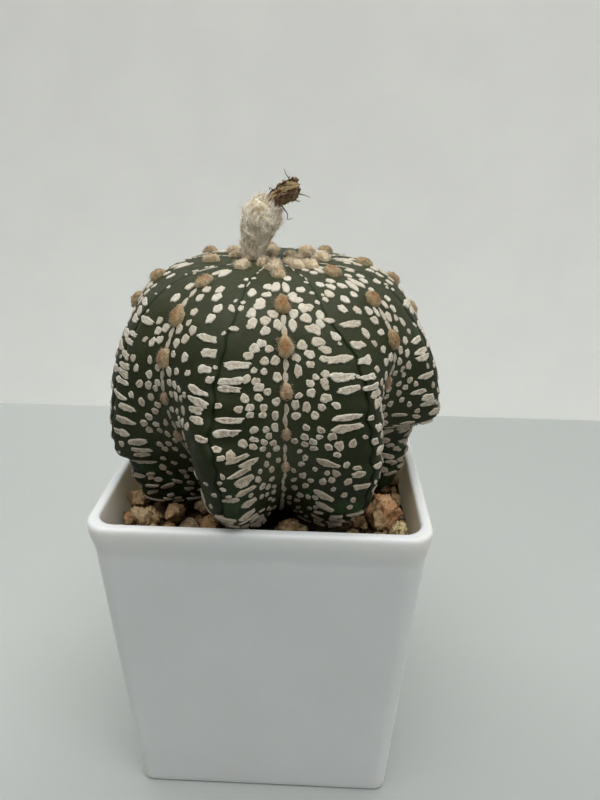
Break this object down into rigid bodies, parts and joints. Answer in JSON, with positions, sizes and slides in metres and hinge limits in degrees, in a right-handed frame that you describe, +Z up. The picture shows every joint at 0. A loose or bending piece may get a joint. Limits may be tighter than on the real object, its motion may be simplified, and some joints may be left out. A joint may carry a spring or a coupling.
{
  "type": "potted super kabuto star cactus",
  "caption": "Ribbed star cactus covered in woolly flecks, with a spent flower on its crown, in gritty soil in a tapered square pot.",
  "frame": {"origin": "middle of the pot's flat underside", "axes": "+Z up out of the pot, -Y toward the front of the plant, +X to the right"},
  "size_m": [0.0754, 0.0757, 0.1446],
  "materials": {
    "pot_plastic": "smooth satin white moulded plastic",
    "grit": "rough, dry, gritty potting mix",
    "cactus_skin": "matt grey-green waxy skin with cream woolly flecks",
    "flower_wool": "cream felted plant wool",
    "dried_petal": "dry, brittle, matt brown petals",
    "pumice_tan": "rough porous stone",
    "pumice_brown": "rough porous stone",
    "pumice_orange": "rough porous fired clay",
    "pumice_pale": "rough porous stone"
  },
  "bodies": {
    "root": {"pot": "pot_plastic", "soil": "grit", "cactus": "cactus_skin", "flower_tube": "flower_wool", "dried_petals": "dried_petal", "stone_front_middle": "pumice_tan", "stone_front_left": "pumice_tan", "stone_front_left_small": "pumice_brown", "stone_left": "pumice_tan", "stone_front_right": "pumice_orange", "stone_front_right_pale": "pumice_pale", "stone_right": "pumice_tan", "stone_back_right": "pumice_tan", "stone_back_right_small": "pumice_brown", "stone_back_left": "pumice_orange", "stone_back_left_small": "pumice_tan"}
  },
  "joints": []
}
